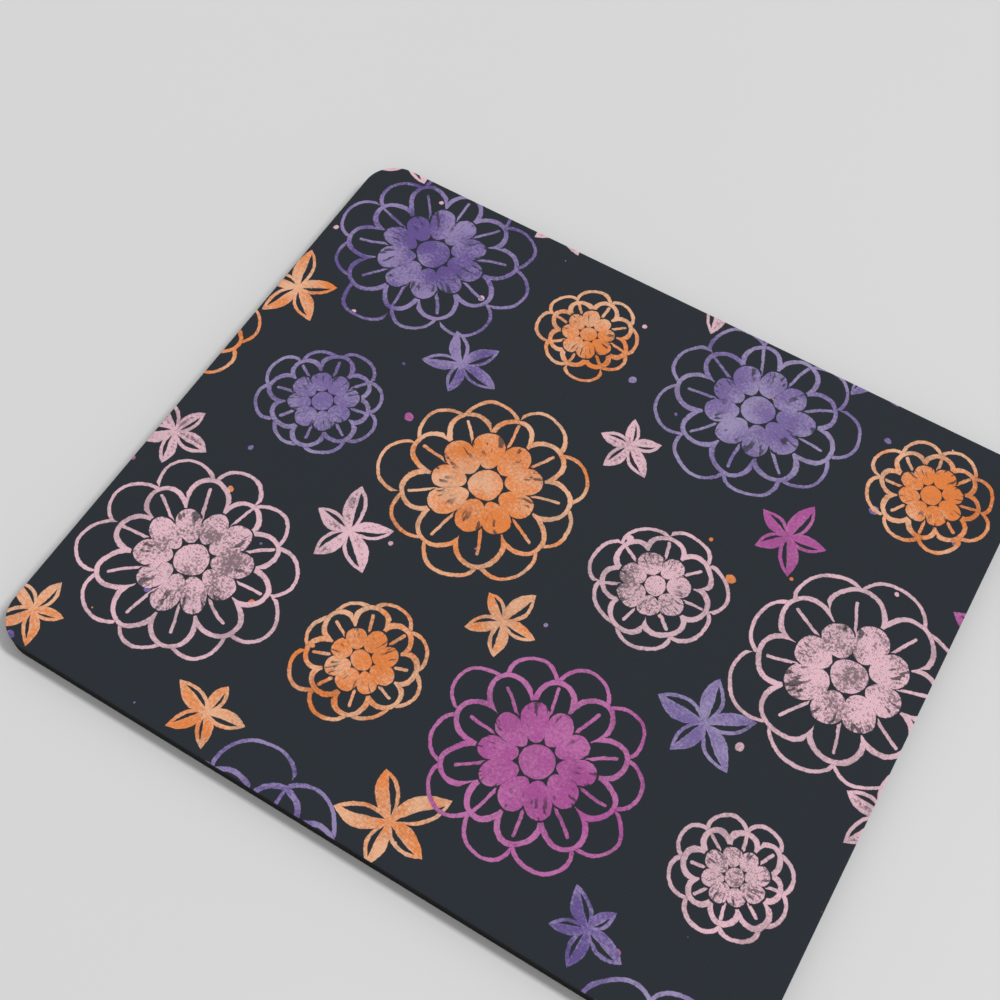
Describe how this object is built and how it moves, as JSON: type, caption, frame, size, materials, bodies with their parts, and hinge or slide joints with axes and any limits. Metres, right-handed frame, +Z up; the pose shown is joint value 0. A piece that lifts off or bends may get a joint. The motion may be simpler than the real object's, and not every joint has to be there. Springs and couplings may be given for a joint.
{
  "type": "mouse pad",
  "caption": "Flat rectangular mouse pad with rounded corners: a printed cloth face bonded to a foamed-rubber base with a wavy anti-slip tread underneath.",
  "frame": {"origin": "on the desk, under the middle of the pad", "axes": "+X along the long edge, +Y away from the user along the short edge, +Z up out of the cloth face"},
  "size_m": [0.235, 0.204, 0.0063],
  "materials": {
    "printed_cloth": "matte charcoal polyester cloth, dye-printed with chalky flowers in orange, purple, magenta and pale pink",
    "bonding_film": "thin grey hot-melt film, seen only as a line at the cut edge",
    "foam_rubber": "matte black foamed rubber with a fine cellular cut edge and a moulded tread"
  },
  "bodies": {
    "root": {"printed_cloth_face": "printed_cloth", "bonding_film": "bonding_film", "rubber_base": "foam_rubber"}
  },
  "joints": []
}
